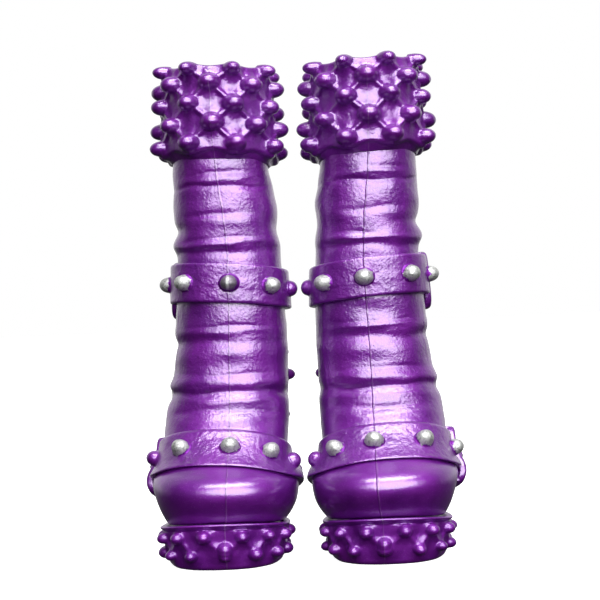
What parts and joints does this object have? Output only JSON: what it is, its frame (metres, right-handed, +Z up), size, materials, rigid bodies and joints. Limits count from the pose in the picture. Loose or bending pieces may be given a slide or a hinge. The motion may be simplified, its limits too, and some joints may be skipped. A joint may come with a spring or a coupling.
{
  "type": "doll boots",
  "caption": "Pair of tall platform boots for a fashion doll, with knobbed cuffs, studded buckled straps, round toes and studded heels.",
  "frame": {"origin": "on the floor under the middle of the pair's bounding box", "axes": "+Z up, toes point to -Y, the wearer's left boot stands at +X and the right boot at -X"},
  "size_m": [0.04, 0.0273, 0.0614],
  "materials": {
    "purple_vinyl": "pearly semi-gloss moulded vinyl with fine moulded leather grain on the straps",
    "silver_paint": "satin metallic paint over moulded vinyl studs"
  },
  "bodies": {
    "right_boot": {"right_calf_buckle": "purple_vinyl", "right_calf_strap": "purple_vinyl", "right_calf_stud_1": "silver_paint", "right_calf_stud_2": "silver_paint", "right_calf_stud_3": "silver_paint", "right_calf_stud_4": "silver_paint", "right_calf_stud_5": "purple_vinyl", "right_calf_stud_6": "purple_vinyl", "right_calf_stud_7": "purple_vinyl", "right_cuff": "purple_vinyl", "right_heel": "purple_vinyl", "right_instep_buckle": "purple_vinyl", "right_instep_strap": "purple_vinyl", "right_instep_stud_1": "silver_paint", "right_instep_stud_2": "silver_paint", "right_instep_stud_3": "purple_vinyl", "right_instep_stud_4": "silver_paint", "right_instep_stud_5": "purple_vinyl", "right_instep_stud_6": "purple_vinyl", "right_instep_stud_7": "purple_vinyl", "right_instep_stud_8": "purple_vinyl", "right_platform": "purple_vinyl", "right_upper": "purple_vinyl"},
    "left_boot": {"left_calf_buckle": "purple_vinyl", "left_calf_strap": "purple_vinyl", "left_calf_stud_1": "silver_paint", "left_calf_stud_2": "silver_paint", "left_calf_stud_3": "silver_paint", "left_calf_stud_4": "silver_paint", "left_calf_stud_5": "purple_vinyl", "left_calf_stud_6": "purple_vinyl", "left_calf_stud_7": "purple_vinyl", "left_cuff": "purple_vinyl", "left_heel": "purple_vinyl", "left_instep_buckle": "purple_vinyl", "left_instep_strap": "purple_vinyl", "left_instep_stud_1": "silver_paint", "left_instep_stud_2": "silver_paint", "left_instep_stud_3": "silver_paint", "left_instep_stud_4": "silver_paint", "left_instep_stud_5": "purple_vinyl", "left_instep_stud_6": "purple_vinyl", "left_instep_stud_7": "purple_vinyl", "left_instep_stud_8": "purple_vinyl", "left_platform": "purple_vinyl", "left_upper": "purple_vinyl"}
  },
  "joints": [
    {"name": "left_boot_apart", "type": "slide", "parent": "right_boot", "child": "left_boot", "axis": [1, 0, 0], "range_m": [0, 0.03]}
  ]
}
